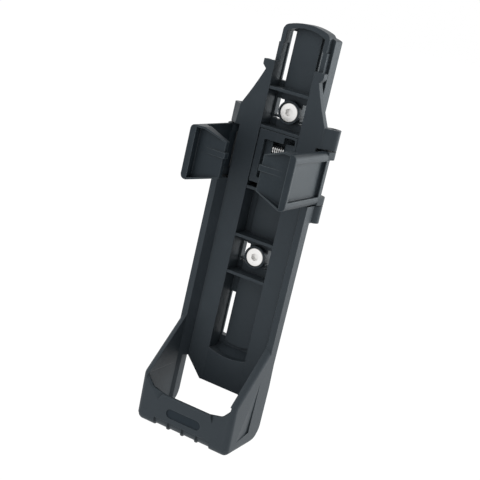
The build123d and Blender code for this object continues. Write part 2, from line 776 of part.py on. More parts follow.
def jaw_dish():
    """Pocket in the front of the jaw, leaving a rim at its outer, upper and lower edges."""
    root = ARM_OUTER - JAW_RIM
    return prism_y(
        [
            (root, ARM_FOOT + JAW_EDGE),
            (root, ARM_TOP - JAW_EDGE),
            (JAW_SHOULDER, ARM_TOP - JAW_EDGE),
            (JAW_TIP - 1, JAW_TIP_TOP - JAW_EDGE),
            (JAW_TIP - 1, JAW_TIP_FOOT + JAW_EDGE),
        ],
        JAW_PLATE_DEPTH - EPS,
        BEYOND,
    )


def jaw_ridge():
    """Level ridge across the jaw: highest at its nose beyond the tip, fading outwards."""
    half = JAW_RIDGE_HEIGHT / 2
    middle = ARM_MIDDLE + JAW_RIDGE_LIFT
    nose = JAW_TIP - JAW_NOSE
    fade = ARM_OUTER - JAW_RIM - JAW_WALL
    outline = [
        (nose, JAW_PLATE_DEPTH - JAW_WALL),
        (nose, JAW_PLATE_DEPTH + JAW_RIDGE_RISE),
        (fade, JAW_PLATE_DEPTH),
        (fade, JAW_PLATE_DEPTH - JAW_WALL),
    ]
    return prism_z(outline, middle - half, middle + half)


def arm_root():
    """Turned-in edge of the side wall between the two knuckles."""
    turned = [(ARM_OUTER - inset, depth) for inset, depth in ARM_ROOT]
    outline = [(ARM_OUTER, ARM_REAR)] + turned + [(ARM_OUTER - EPS, turned[-1][1])]
    return prism_z(outline, ARM_FOOT + ARM_KNUCKLE - EPS, ARM_TOP - ARM_KNUCKLE + EPS)


def arm_knuckle(low, high):
    """One knuckle of the right arm: barrel, web to the side wall and heel."""
    heel_x, heel_depth = heel_centre()
    barrel = post(KNUCKLE_RADIUS, HINGE_X, HINGE_DEPTH, low, high)
    heel = post(HEEL_RADIUS, heel_x, heel_depth, low, high)
    web = prism_z(
        [
            on_knuckle(WEB_OUTER_TOUCH),
            (ARM_OUTER, ARM_REAR + ARM_WALL),
            (ARM_OUTER - ARM_WALL, ARM_REAR + ARM_WALL),
            on_knuckle(WEB_INNER_TOUCH),
        ],
        low,
        high,
    )
    return barrel + heel + web


def clamp_arm():
    """Right clamp arm."""
    arm = prism_z(arm_section(), ARM_FOOT, ARM_TOP) & prism_y(arm_front(), 0, BEYOND)
    arm = fillet(arm.edges().filter_by(Axis.Y).group_by(Axis.X)[-1], JAW_CORNER)
    arm -= jaw_dish()
    arm += jaw_ridge() + arm_root()
    arm += arm_knuckle(ARM_TOP - ARM_KNUCKLE, ARM_TOP)
    arm += arm_knuckle(ARM_FOOT, ARM_FOOT + ARM_KNUCKLE)
    arm -= block(
        ARM_OUTER - ARM_RECESS,
        ARM_OUTER + 1,
        ARM_REAR + ARM_REAR_FRAME,
        ARM_FRONT - ARM_FRONT_FRAME,
        ARM_FOOT + ARM_FRAME,
        ARM_TOP - ARM_FRAME,
    )
    arm -= post(PIN_RADIUS + PIN_RUNNING_CLEARANCE, HINGE_X, HINGE_DEPTH, ARM_FOOT - 1, ARM_TOP + 1)
    return arm


def hinge_pin(low, high):
    """Steel pin of the right side."""
    pin = post(PIN_RADIUS, HINGE_X, HINGE_DEPTH, low, high)
    return chamfer(pin.edges().filter_by(GeomType.CIRCLE), PIN_CHAMFER)


def hinge_pins():
    """Upper and lower pins of the right side, by name."""
    grip = ARM_KNUCKLE - PIN_SETBACK
    return {
        "upper": hinge_pin(ARM_TOP - grip, UPPER_KNUCKLE_TOP - PIN_SETBACK),
        "lower": hinge_pin(LOWER_KNUCKLE_FOOT + PIN_SETBACK, ARM_FOOT + grip),
    }


def spring_heights():
    """Heights of the two springs, spread about the middle of the arms."""
    return {"upper": ARM_MIDDLE + SPRING_SPREAD / 2, "lower": ARM_MIDDLE - SPRING_SPREAD / 2}


def spring_pusher():
    """Right pusher: a plate with spring studs inside and a foot for the arm's heels outside."""
    heel_x, _ = heel_centre()
    tip = heel_x - HEEL_RADIUS - HEEL_GAP
    half = PUSHER_HEIGHT / 2
    inner = SPRING_GAP / 2
    plate = block(inner, tip - 1, PUSHER_BACK, PUSHER_FRONT, ARM_MIDDLE - half, ARM_MIDDLE + half)
    foot = block(
        tip - PUSHER_FOOT_LENGTH, tip, PUSHER_FOOT_BACK, PUSHER_FOOT_FRONT, ARM_FOOT + ARM_GAP, ARM_TOP - ARM_GAP
    )
    plate -= block(tip - PUSHER_STEP, tip, PUSHER_FOOT_FRONT, BEYOND, ARM_FOOT, ARM_TOP)
    pusher = plate + foot
    for height in spring_heights().values():
        pusher += Pos(inner, -SPRING_DEPTH, height) * Rot(0, 90, 0) * Cylinder(STUD_RADIUS, 2 * STUD_LENGTH)
    return pusher


def closing_spring(height):
    """Coil spring held between the two pushers, its coil laid in short straight runs."""
    length = SPRING_GAP - SPRING_WIRE - 2 * EPS
    radius = SPRING_RADIUS - SPRING_WIRE / 2
    count = round(length / SPRING_PITCH * SPRING_STEPS)
    points = []
    for i in range(count + 1):
        angle = 2 * math.pi * i / SPRING_STEPS
        points.append((radius * math.cos(angle), radius * math.sin(angle), length * i / count))
    path = Polyline(*points)
    section = Plane(path @ 0, z_dir=path % 0) * RegularPolygon(SPRING_WIRE / 2, WIRE_SIDES)
    coil = sweep(section, path, transition=Transition.RIGHT)
    return Pos(-length / 2, -SPRING_DEPTH, height) * Rot(0, 90, 0) * coil


def spring_cover():
    """Plate over the spring compartment, with its stepped window."""
    half = CHANNEL_HALF - COVER_CLEARANCE
    top = RIB_HEIGHTS[1] - RIB_WALL / 2 - COVER_CLEARANCE
    plate = block(-half, half, cover_back(), cover_back() + COVER_WALL, COVER_FOOT, top)
    window = prism_y(
        [
            (WINDOW_LEFT, WINDOW_FOOT),
            (WINDOW_RIGHT, WINDOW_FOOT),
            (WINDOW_RIGHT, WINDOW_STEP_TOP),
            (WINDOW_STEP, WINDOW_STEP_TOP),
            (WINDOW_STEP, WINDOW_TOP),
            (WINDOW_LEFT, WINDOW_TOP),
        ],
        0,
        BEYOND,
    )
    window = fillet(window.edges().filter_by(Axis.Y), WINDOW_CORNER)
    return plate - window


def mounting_screw(height):
    """Low-headed screw in place, its thread standing out behind the bracket."""
    head = Pos(0, 0, SEAT_DEPTH) * Cylinder(
        HEAD_RADIUS, HEAD_HEIGHT, align=(Align.CENTER, Align.CENTER, Align.MIN)
    )
    head = chamfer(head.edges().filter_by(GeomType.CIRCLE).sort_by(Axis.Z)[-1], HEAD_EDGE)
    neck = Cylinder(SCREW_NECK_RADIUS, SEAT_DEPTH, align=(Align.CENTER, Align.CENTER, Align.MIN))
    thread = Cylinder(
        SCREW_RADIUS, SCREW_LENGTH - SEAT_DEPTH, align=(Align.CENTER, Align.CENTER, Align.MAX)
    )
    thread = chamfer(thread.edges().filter_by(GeomType.CIRCLE).sort_by(Axis.Z)[0], SCREW_TIP)
    socket = Pos(0, 0, SEAT_DEPTH + HEAD_HEIGHT - SOCKET_DEPTH) * extrude(
        RegularPolygon(SOCKET_FLATS / 2, 6, major_radius=False), amount=SOCKET_DEPTH + 1
    )
    return Pos(0, 0, height) * Rot(90, 0, 0) * (head + neck + thread - socket)


def write(name, shape):
    """Writes one node's STEP file."""
    export_step(shape, f"parts/{name}.step")


def main():
    os.makedirs("parts", exist_ok=True)
    write("cradle", cradle())
    write("spring_cover", spring_cover())
    right = {"clamp_arm": clamp_arm(), "spring_pusher": spring_pusher()}
    for level, pin in hinge_pins().items():
        right[f"hinge_pin_{level}"] = pin
    for name, shape in right.items():
        write(f"{name}_right", shape)
        write(f"{name}_left", mirror(shape, about=Plane.YZ))
    for level, height in spring_heights().items():
        write(f"closing_spring_{level}", closing_spring(height))
    for level, height in zip(("upper", "lower"), SCREW_HEIGHTS):
        write(f"mounting_screw_{level}", mounting_screw(height))
    print("pusher travel", round(pusher_travel(), 3), "mm over", ARM_OPENING, "degrees")


main()
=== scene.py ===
# %% [markdown]
# A bracket that carries a folded bicycle lock on the frame tube.
# The maker's solids come in as a fixed frame: a long moulded cradle, two sprung clamp arms, and the
# small parts of the spring compartment. This lesson dresses them. The large mouldings keep their
# solids and get a finish, while the screws and springs are modelled again, because their threads,
# sockets and coils are what a close look rests on.

# %% Load the frame
import math

import bpy
from mathutils import Matrix, Vector


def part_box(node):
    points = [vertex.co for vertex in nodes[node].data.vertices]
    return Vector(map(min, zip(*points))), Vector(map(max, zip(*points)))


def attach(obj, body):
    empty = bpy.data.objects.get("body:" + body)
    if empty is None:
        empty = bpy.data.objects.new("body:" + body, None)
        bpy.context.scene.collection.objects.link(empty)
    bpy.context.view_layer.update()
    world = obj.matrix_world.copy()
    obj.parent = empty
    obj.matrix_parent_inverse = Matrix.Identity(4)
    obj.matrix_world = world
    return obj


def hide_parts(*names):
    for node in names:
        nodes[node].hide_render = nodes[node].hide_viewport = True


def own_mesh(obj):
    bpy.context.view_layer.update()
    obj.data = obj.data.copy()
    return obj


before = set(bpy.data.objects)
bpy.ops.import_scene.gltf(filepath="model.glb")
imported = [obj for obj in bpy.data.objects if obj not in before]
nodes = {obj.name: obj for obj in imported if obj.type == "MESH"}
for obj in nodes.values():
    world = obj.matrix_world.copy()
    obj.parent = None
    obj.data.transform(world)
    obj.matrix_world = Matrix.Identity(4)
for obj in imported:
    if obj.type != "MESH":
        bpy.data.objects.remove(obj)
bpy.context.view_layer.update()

MM = 0.001
scene = bpy.context.scene
scene.view_settings.view_transform = "Standard"

# %% [markdown]
# The camera stands in front of the bracket, to its right and a little above, and is rolled, so the
# bracket leans in the picture. A camera can be aimed with a Track To constraint, but a roll then has
# to be added by hand. Here its three axes are worked out from two angles and the roll, and they are
# the columns of its matrix, which keeps the aim exact.

# %% Camera
CAMERA_PLACE = Vector((187.03, -410.80, 87.77)) * MM
CAMERA_TURN = math.radians(25.795)
CAMERA_RISE = math.radians(14.309)
CAMERA_ROLL = math.radians(13.102)
CAMERA_LENS = 80.42
CAMERA_NEAR = 10 * MM


def camera_axes(turn, rise, roll):
    """The camera's right, up and backward directions."""
    level = Vector((math.cos(turn), math.sin(turn), 0))
    back = Vector((math.sin(turn) * math.cos(rise), -math.cos(turn) * math.cos(rise), math.sin(rise)))
    upright = back.cross(level)
    right = level * math.cos(roll) + upright * math.sin(roll)
    return right, back.cross(right), back


camera_data = bpy.data.cameras.new("camera")
camera_data.lens = CAMERA_LENS
camera_data.clip_start = CAMERA_NEAR
camera = bpy.data.objects.new("camera", camera_data)
scene.collection.objects.link(camera)
turned = Matrix(camera_axes(CAMERA_TURN, CAMERA_RISE, CAMERA_ROLL)).transposed().to_4x4()
camera.matrix_world = Matrix.Translation(CAMERA_PLACE) @ turned
scene.camera = camera
print("camera stands", round(CAMERA_PLACE.length, 3), "m from the middle of the mount")

# %% [markdown]
# Materials, the world and the floor are all graphs of nodes. They can be wired one link at a time,
# but a long material is then hard to read. Here a recipe adds any node with one call, and a signal
# wraps an output socket, so that sums of signals are written like sums of numbers.

# %% Recipes and signals
class Signal:
    """What one output socket gives, written in sums like a number."""

    def __init__(self, recipe, socket):
        self.recipe = recipe
        self.socket = socket

    def sum_with(self, operation, first, second):
        return self.recipe.add("ShaderNodeMath", {"operation": operation}, {0: first, 1: second})

    def __add__(self, other):
        return self.sum_with("ADD", self, other)

    def __radd__(self, other):
        return self.sum_with("ADD", other, self)

    def __sub__(self, other):
        return self.sum_with("SUBTRACT", self, other)

    def __rsub__(self, other):
        return self.sum_with("SUBTRACT", other, self)

    def __mul__(self, other):
        return self.sum_with("MULTIPLY", self, other)

    def __rmul__(self, other):
        return self.sum_with("MULTIPLY", other, self)

    def __pow__(self, other):
        return self.sum_with("POWER", self, other)

    def __abs__(self):
        return self.sum_with("ABSOLUTE", self, 0.0)

    def clamped(self):
        settings = {"operation": "ADD", "use_clamp": True}
        return self.recipe.add("ShaderNodeMath", settings, {0: self, 1: 0.0})


class Recipe:
    """A graph of nodes for a material or the world."""

    def __init__(self, owner):
        owner.use_nodes = True
        self.owner = owner
        self.tree = owner.node_tree
        self.tree.nodes.clear()

    def add(self, kind, settings=None, sockets=None, output=0):
        """Adds a node, sets its settings and then its sockets, and gives one of its outputs."""
        node = self.tree.nodes.new(kind)
        for name, value in (settings or {}).items():
            setattr(node, name, value)
        for name, value in (sockets or {}).items():
            if isinstance(value, Signal):
                self.tree.links.new(value.socket, node.inputs[name])
            else:
                node.inputs[name].default_value = value
        return Signal(self, node.outputs[output]) if len(node.outputs) else node

    def tint(self, mask, low, high):
        """Colour that goes from low to high with a mask."""
        return self.add("ShaderNodeMix", {"data_type": "RGBA"}, {0: mask, 6: low, 7: high}, 2)

    def noise(self, place, scale, detail, roughness):
        """Cloudy noise around one half."""
        sockets = {"Vector": place, "Scale": scale, "Detail": detail, "Roughness": roughness}
        return self.add("ShaderNodeTexNoise", None, sockets)

    def place(self):
        """The object's own coordinates."""
        return self.add("ShaderNodeTexCoord", output="Object")

    def axis(self, vector, name):
        """One of the three numbers of a vector."""
        return self.add("ShaderNodeSeparateXYZ", None, {0: vector}, name)

    def shown(self):
        """One for rays that come from the camera, a mirror or glass, and zero for light that falls."""
        seen = self.add("ShaderNodeLightPath", output="Is Camera Ray")
        mirrored = self.add("ShaderNodeLightPath", output="Is Glossy Ray")
        through = self.add("ShaderNodeLightPath", output="Is Transmission Ray")
        return (seen + mirrored + through).clamped()

    def bump(self, height, strength, distance, normal):
        """A normal tilted by the slope of a height."""
        sockets = {"Strength": strength, "Distance": distance, "Height": height, "Normal": normal}
        return self.add("ShaderNodeBump", None, sockets)

    def principled(self, sockets):
        """Finishes a material with a Principled shader and gives the material."""
        shader = self.add("ShaderNodeBsdfPrincipled", None, sockets)
        self.add("ShaderNodeOutputMaterial", None, {"Surface": shader})
        return self.owner


def new_recipe(name):
    """An empty recipe for a new material."""
    return Recipe(bpy.data.materials.new(name))


def shaded(colour, share):
    """A colour made darker."""
    return tuple(share * v for v in colour[:3]) + (1,)


print("recipes are ready")

# %% [markdown]
# The bracket stands against plain white, as in a shop's picture. Light on a dark, smooth moulding is
# mostly reflection, so what stands around it matters more than any lamp. A sky texture would do for
# a scene outdoors. Here the world is built like a small studio: white paper behind the bracket, a
# broad soft box in front of it and a darker room at its sides, which keeps the inner walls deep. The
# camera, and whatever mirrors or passes light, sees white everywhere, so the steel shines white. One
# soft lamp high on the left gives the shading a direction, and a second one behind on the right
# draws a bright line along every side wall.

# %% World and lamps
FRONT_LIGHT = 0.70
FRONT_SLOPE = -2.0
FRONT_START = -0.6
SIDE_LIGHT = 0.25
BACK_LIGHT = 1.0
BACK_SLOPE = 2.5
BACK_START = 0.25
KEY_POWER = 1.0
KEY_SIZE = 0.5
KEY_PLACE = Vector((-0.35, -0.60, 0.65))
RIM_POWER = 2.5
RIM_SIZE = 0.6
RIM_PLACE = Vector((0.50, 0.70, 0.05))
RIM_COLOUR = (0.90, 0.97, 1.0)
LAMP_AIM = Vector((0, 0, -20)) * MM


def studio_world():
    """White to the camera and in mirrors, and a soft box, a dim room and white paper as light."""
    recipe = Recipe(bpy.data.worlds.new("studio"))
    heading = recipe.add("ShaderNodeTexCoord", output="Generated")
    away = recipe.axis(heading, "Y")
    paper = (away * BACK_SLOPE + BACK_START).clamped() * (BACK_LIGHT - SIDE_LIGHT)
    box = (away * FRONT_SLOPE + FRONT_START).clamped() * (FRONT_LIGHT - SIDE_LIGHT)
    light = paper + box + SIDE_LIGHT
    white = recipe.shown()
    strength = light * (1 - white) + white
    sockets = {"Color": (1, 1, 1, 1), "Strength": strength}
    background = recipe.add("ShaderNodeBackground", None, sockets)
    recipe.add("ShaderNodeOutputWorld", None, {"Surface": background})
    return recipe.owner


def soft_lamp(name, place, aim, size, power, colour=(1, 1, 1)):
    """Square area lamp that looks at a point."""
    data = bpy.data.lights.new(name, "AREA")
    data.size = size
    data.energy = power
    data.color = colour
    lamp = bpy.data.objects.new(name, data)
    lamp.location = place
    lamp.rotation_euler = (place - aim).to_track_quat("Z", "Y").to_euler()
    scene.collection.objects.link(lamp)


scene.world = studio_world()
soft_lamp("key_lamp", KEY_PLACE, LAMP_AIM, KEY_SIZE, KEY_POWER)
soft_lamp("rim_lamp", RIM_PLACE, LAMP_AIM, RIM_SIZE, RIM_POWER, RIM_COLOUR)
print("lamp powers", KEY_POWER, "and", RIM_POWER, "W")

# %% [markdown]
# The bracket is held up in the air, so the floor lies well below it. It is a plain pale disc. To the
# camera most of its brightness is given rather than lit, which keeps it level with the white behind
# it, and the rest is lit, so it still takes the bracket's soft shadow.

# %% Floor
FLOOR_HEIGHT = -0.20
FLOOR_RADIUS = 6.0
FLOOR_SIDES = 96
FLOOR_GLOW = 0.85
FLOOR_WHITE = 1.12
FLOOR_PAINT = 0.8


def pale_floor():
    """Matte paint that shows near white to the camera and in reflections."""
    recipe = new_recipe("pale_floor")
    paint = recipe.add("ShaderNodeBsdfDiffuse", None, {"Color": (FLOOR_PAINT,) * 3 + (1,)})
    glow = recipe.add("ShaderNodeEmission", None, {"Color": (1, 1, 1, 1), "Strength": FLOOR_WHITE})
    share = recipe.shown() * FLOOR_GLOW
    mixed = recipe.add("ShaderNodeMixShader", None, {0: share, 1: paint, 2: glow})
    recipe.add("ShaderNodeOutputMaterial", None, {"Surface": mixed})
    return recipe.owner


bpy.ops.mesh.primitive_circle_add(
    vertices=FLOOR_SIDES, radius=FLOOR_RADIUS, fill_type="NGON", location=(0, 0, FLOOR_HEIGHT)
)
floor = bpy.context.object
floor.name = "floor"
floor.data.materials.append(pale_floor())

# %% [markdown]
# The cradle, arms, cover and pushers are moulded in a glass-filled nylon, coloured through in a dark
# grey. The tool is spark-eroded, so the skin has a very fine even grain that breaks up reflections.
# A flat colour with one roughness would look like a drawing. Here slow clouds change the colour and
# the gloss a little, as the flow of the plastic does, a fine grain goes to the bump, and the Bevel
# node rounds every edge for the light, so that edges catch a thin highlight. The difference between
# the rounded and the true normal also paints the edges paler, partly as wear where hands and the lock
# rub them and partly as a painted highlight, and a short Ambient Occlusion finds the inner corners and
# darkens them as painted shade. The arms are a tougher, darker grade with softer edges. The bare
# recess on the front lip is polished in the tool, so it is smoother and looks darker: a mask in the
# shape of a stadium finds its floor.

# %% Moulded plastic
CLOUD_SCALE = 55.0
FLECK_SCALE = 1400.0
PIT_SCALE = 4200.0
PIT_SHARE = 0.6
GRAIN_STRENGTH = 0.5
GRAIN_DEPTH = 0.05 * MM
EDGE_ROUND = 0.4 * MM
ARM_EDGE_ROUND = 0.7 * MM
EDGE_GAIN = 5.0
CORNER_REACH = 1.6 * MM
CORNER_GAIN = 1.3
# Strength and darkness of the painted shade in inner corners.
CORNER_PAINTED_SHADE = 0.8
CORNER_SHADE = 0.25
PLASTIC_IOR = 1.5
SHEEN = 0.3
SHEEN_TINT = (0.86, 0.94, 1.0, 1)
PLAQUE_GREY = (0.006, 0.014, 0.022, 1)
PLAQUE_HALF = 6.4 * MM
PLAQUE_RADIUS = 2.1 * MM
PLAQUE_HEIGHT = -100.1 * MM
PLAQUE_DEPTH = 35.5 * MM
CRISP = 8000.0
SOFT = 2000.0


def plaque(recipe, place):
    """Mask of the polished recess on the front lip."""
    depth = 0.0 - recipe.axis(place, "Y")
    rise = recipe.axis(place, "Z") - PLAQUE_HEIGHT
    beyond = (abs(recipe.axis(place, "X")) - PLAQUE_HALF).clamped()
    radius = (beyond * beyond + rise * rise) ** 0.5
    inside = ((PLAQUE_RADIUS - radius) * CRISP + 0.5).clamped()
    return inside * ((depth - PLAQUE_DEPTH) * SOFT).clamped()


def moulded(name, colour, worn_and_highlit, roughness, grain=1.0, round_off=EDGE_ROUND, polished=None):
    """Dark moulded plastic with a fine eroded grain and edges that catch the light."""
    recipe = new_recipe(name)
    place = recipe.place()
    clouds = recipe.noise(place, CLOUD_SCALE, 4.0, 0.6)
    flecks = recipe.noise(place, FLECK_SCALE, 2.0, 0.6)
    pits = recipe.noise(place, PIT_SCALE, 3.0, 0.7)
    true = recipe.add("ShaderNodeNewGeometry", output="Normal")
    rounded = recipe.add("ShaderNodeBevel", {"samples": 8}, {"Radius": round_off})
    both = {0: true, 1: rounded}
    facing = recipe.add("ShaderNodeVectorMath", {"operation": "DOT_PRODUCT"}, both, "Value")
    reach = {"Distance": CORNER_REACH}
    open_sky = recipe.add("ShaderNodeAmbientOcclusion", {"samples": 6}, reach, "AO")
    corner = ((1 - open_sky) * CORNER_GAIN).clamped()
    edge = ((1 - facing) * EDGE_GAIN).clamped() * (1 - corner * 2.0).clamped()
    mask = (edge * (clouds * 0.6 + 0.35) + (flecks - 0.5) * 0.12 + (clouds - 0.5) * 0.5).clamped()
    gloss = roughness + (clouds - 0.5) * 0.12 + (flecks - 0.5) * 0.10 - edge * 0.05
    height = pits * PIT_SHARE + flecks * (1 - PIT_SHARE)
    # Edges go towards the paler colour: partly wear, partly a painted highlight.
    base = recipe.tint(mask, colour, worn_and_highlit)
    # Inner corners found by Ambient Occlusion are darkened: painted shade.
    base = recipe.tint(corner * CORNER_PAINTED_SHADE, base, shaded(colour, CORNER_SHADE))
    if polished:
        smooth = polished(recipe, place)
        base = recipe.tint(smooth, base, PLAQUE_GREY)
        gloss = gloss - smooth * 0.06
        height = height * (1 - smooth * 0.8)
    grained = recipe.bump(height, GRAIN_STRENGTH * grain, GRAIN_DEPTH, rounded)
    return recipe.principled(
        {
            "Base Color": base,
            "Roughness": gloss.clamped(),
            "IOR": PLASTIC_IOR,
            "Specular IOR Level": SHEEN,
            "Specular Tint": SHEEN_TINT,
            "Normal": grained,
        }
    )


def finish_node(name, material):
    """Gives a CAD node its finish."""
    node = nodes[name]
    node.data.materials.clear()
    node.data.materials.append(material)


# The paler colour of each grade is partly wear on the edges and partly a painted highlight.
CHARCOAL = (0.038, 0.048, 0.057, 1)
CHARCOAL_WORN_AND_HIGHLIT = (0.10, 0.12, 0.135, 1)
ARM_GREY = (0.018, 0.026, 0.033, 1)
ARM_WORN_AND_HIGHLIT = (0.13, 0.155, 0.17, 1)
SLIDER_GREY = (0.046, 0.058, 0.068, 1)
SLIDER_WORN_AND_HIGHLIT = (0.085, 0.104, 0.118, 1)
cradle_nylon = moulded("cradle_nylon", CHARCOAL, CHARCOAL_WORN_AND_HIGHLIT, 0.47, polished=plaque)
charcoal_nylon = moulded("charcoal_nylon", CHARCOAL, CHARCOAL_WORN_AND_HIGHLIT, 0.47)
arm_nylon = moulded("arm_nylon", ARM_GREY, ARM_WORN_AND_HIGHLIT, 0.45, round_off=ARM_EDGE_ROUND)
slider_nylon = moulded("slider_nylon", SLIDER_GREY, SLIDER_WORN_AND_HIGHLIT, 0.38, 0.5)
finish_node("cradle", cradle_nylon)
finish_node("spring_cover", charcoal_nylon)
for side in ("right", "left"):
    finish_node(f"clamp_arm_{side}", arm_nylon)
    finish_node(f"spring_pusher_{side}", slider_nylon)
print("the cover's finish has", len(charcoal_nylon.node_tree.nodes), "shader nodes")

# %% [markdown]
# The four hinge pins are cut from drawn stainless wire. Drawing leaves fine lines along the pin, so
# the noise is stretched along Z. The cut ends show the same metal, a little rougher.

# %% Pin steel
LINE_SCALE = 3500.0
LINE_STRETCH = 0.04
DRAWN_CLOUD_SCALE = 160.0
PIN_EDGE_ROUND = 0.08 * MM
LINE_DEPTH = 0.01 * MM
LINE_SHADE = 0.7


def drawn_steel(name, colour, roughness):
    """Steel rod with fine lines along its length."""
    recipe = new_recipe(name)
    place = recipe.place()
    squeezed = {"Vector": place, "Scale": (1, 1, LINE_STRETCH)}
    stretch = recipe.add("ShaderNodeMapping", None, squeezed, "Vector")
    lines = recipe.noise(stretch, LINE_SCALE, 3.0, 0.6)
    clouds = recipe.noise(place, DRAWN_CLOUD_SCALE, 3.0, 0.6)
    rounded = recipe.add("ShaderNodeBevel", {"samples": 6}, {"Radius": PIN_EDGE_ROUND})
    tone = (clouds * 0.6 + lines * 0.4).clamped()
    return recipe.principled(
        {
            "Base Color": recipe.tint(tone, shaded(colour, LINE_SHADE), colour),
            "Metallic": 1.0,
            "Roughness": roughness + (lines - 0.5) * 0.15,
            "Normal": recipe.bump(lines, 0.3, LINE_DEPTH, rounded),
        }
    )


pin_steel = drawn_steel("pin_steel", (0.60, 0.60, 0.59, 1), 0.32)
for side in ("right", "left"):
    for level in ("upper", "lower"):
        finish_node(f"hinge_pin_{level}_{side}", pin_steel)
print("four pins in", pin_steel.name)

# %% [markdown]
# Modelling by hand is a round of the same few moves: one piece is made active, some of its faces or
# points are selected, an operator works on them, and a modifier is applied. An operator acts on all
# that is selected, so each of these helpers first clears the selection. Faces are picked by where
# they lie or look, which still works when their numbers change. The bisect tool takes points within a
# tenth of a millimetre as lying on its plane, unless it is told a finer measure. That is coarse for a
# thread or a spring wire and leaves doubled faces, so each cut here gives it one.

# %% Tools for modelling by hand
WELD = 0.005 * MM
ON_PLANE = 0.0002 * MM


def deselect_all():
    """Nothing selected, in object mode."""
    if bpy.context.mode != "OBJECT":
        bpy.ops.object.mode_set(mode="OBJECT")
    bpy.ops.object.select_all(action="DESELECT")


def only(piece):
    """This piece alone selected and active."""
    deselect_all()
    piece.select_set(True)
    bpy.context.view_layer.objects.active = piece


def pick(piece, kind, test):
    """Selects the vertices, edges or faces of a piece that pass a test, and enters edit mode."""
    only(piece)
    bpy.ops.object.mode_set(mode="EDIT")
    bpy.ops.mesh.select_mode(type=kind)
    bpy.ops.mesh.select_all(action="DESELECT")
    bpy.ops.object.mode_set(mode="OBJECT")
    mesh = piece.data
    found = {"VERT": mesh.vertices, "EDGE": mesh.edges, "FACE": mesh.polygons}[kind]
    for item in found:
        item.select = bool(test(item))
    bpy.ops.object.mode_set(mode="EDIT")


def object_mode():
    """Back to object mode."""
    bpy.ops.object.mode_set(mode="OBJECT")


def apply_place(piece):
    """Puts a piece's place, turn and scale into its mesh."""
    only(piece)
    bpy.ops.object.transform_apply(location=True, rotation=True, scale=True)


def apply_modifier(piece, kind, **settings):
    """Adds a modifier and applies it at once."""
    only(piece)
    modifier = piece.modifiers.new(kind.lower(), kind)
    for name, value in settings.items():
        setattr(modifier, name, value)
    bpy.ops.object.modifier_apply(modifier=modifier.name)


def weld(piece):
    """Joins the points of a piece that lie in one place."""
    pick(piece, "VERT", lambda v: True)
    bpy.ops.mesh.remove_doubles(threshold=WELD)
    object_mode()


def trim(point, outward):
    """Cuts the mesh in edit mode at a plane, drops what lies outward of it and closes the cut."""
    bpy.ops.mesh.select_all(action="SELECT")
    bpy.ops.mesh.bisect(
        plane_co=point, plane_no=outward, use_fill=True, clear_outer=True, threshold=ON_PLANE
    )


def copy_of(piece, name):
    """A copy of a piece with its own mesh."""
    made = piece.copy()
    made.data = piece.data.copy()
    made.name = name
    scene.collection.objects.link(made)
    return made


def face_count(piece):
    """Triangles of a piece."""
    piece.data.calc_loop_triangles()
    return len(piece.data.loop_triangles)


print("modelling tools are ready")

# %% [markdown]
# Two coil springs push the pushers apart and so keep the arms shut. A coil could be a Screw modifier
# over a small circle, but that leaves a seam at its ends and gives every turn the same pitch. Here
# the Screw modifier turns one point into a line, the line's end turns are pressed together in edit
# mode as a spring maker closes them, and a curve with a round bevel gives the wire its thickness.

# %% Spring coil
SPRING_RADIUS = 1.7 * MM
WIRE_RADIUS = 0.33 * MM
SPRING_HALF = 2.9 * MM
SPRING_TURNS = 5.5
STEPS_PER_TURN = 30
END_SQUEEZE = 0.72
WIRE_SMOOTH = math.radians(60)


def coil_line(name):
    """The line of a whole spring along X, one vertex turned into a helix."""
    bpy.ops.mesh.primitive_plane_add(size=WIRE_RADIUS, location=(0, 0, 0))
    line = bpy.context.object
    line.name = name
    pick(line, "VERT", lambda v: True)
    bpy.ops.mesh.merge(type="CENTER")
    bpy.ops.transform.translate(value=(-SPRING_HALF + WIRE_RADIUS, 0, SPRING_RADIUS))
    object_mode()
    steps = round(SPRING_TURNS * STEPS_PER_TURN)
    apply_modifier(
        line,
        "SCREW",
        axis="X",
        angle=2 * math.pi * SPRING_TURNS,
        screw_offset=2 * (SPRING_HALF - WIRE_RADIUS),
        steps=steps,
        render_steps=steps,
        use_smooth_shade=False,
    )
    return line


def close_ends(line):
    """Presses the end turns of a coil together."""
    turn = 2 * (SPRING_HALF - WIRE_RADIUS) / SPRING_TURNS
    for end in (-1, 1):
        tip = end * (SPRING_HALF - WIRE_RADIUS)
        pick(line, "VERT", lambda v: abs(v.co.x - tip) < turn)
        bpy.ops.transform.resize(value=(END_SQUEEZE, 1, 1), center_override=(tip, 0, 0))
        object_mode()


def thicken(line):
    """Gives a line the round section of the wire."""
    only(line)
    bpy.ops.object.convert(target="CURVE")
    line.data.bevel_depth = WIRE_RADIUS
    line.data.bevel_resolution = 3
    line.data.use_fill_caps = True
    bpy.ops.object.convert(target="MESH")
    weld(line)


coil = coil_line("coil")
close_ends(coil)
thicken(coil)
print("one spring:", face_count(coil), "triangles")

# %% [markdown]
# A spring shortens from both ends at once when both arms open, and from one end when one does. It
# could be stretched by a single scale, but then its far end would leave the other pusher. So each
# spring is cut at the middle plane into two halves, one on the side of each pusher.
# The wire is drawn like the pins, only brighter.

# %% Springs in place
SPRING_DEPTH = 6.1 * MM
spring_wire = drawn_steel("spring_wire", (0.95, 0.95, 0.94, 1), 0.34)
coil.data.materials.append(spring_wire)


def half_coil(coil, name, side):
    """The half of a coil on one side of the middle plane, its cut closed."""
    half = copy_of(coil, name)
    pick(half, "VERT", lambda v: True)
    trim((0, 0, 0), (-side, 0, 0))
    object_mode()
    bpy.ops.object.shade_smooth_by_angle(angle=WIRE_SMOOTH)
    return half


def spring_middle(level):
    """Height of a spring's axis."""
    low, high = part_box(f"closing_spring_{level}")
    return (low.z + high.z) / 2


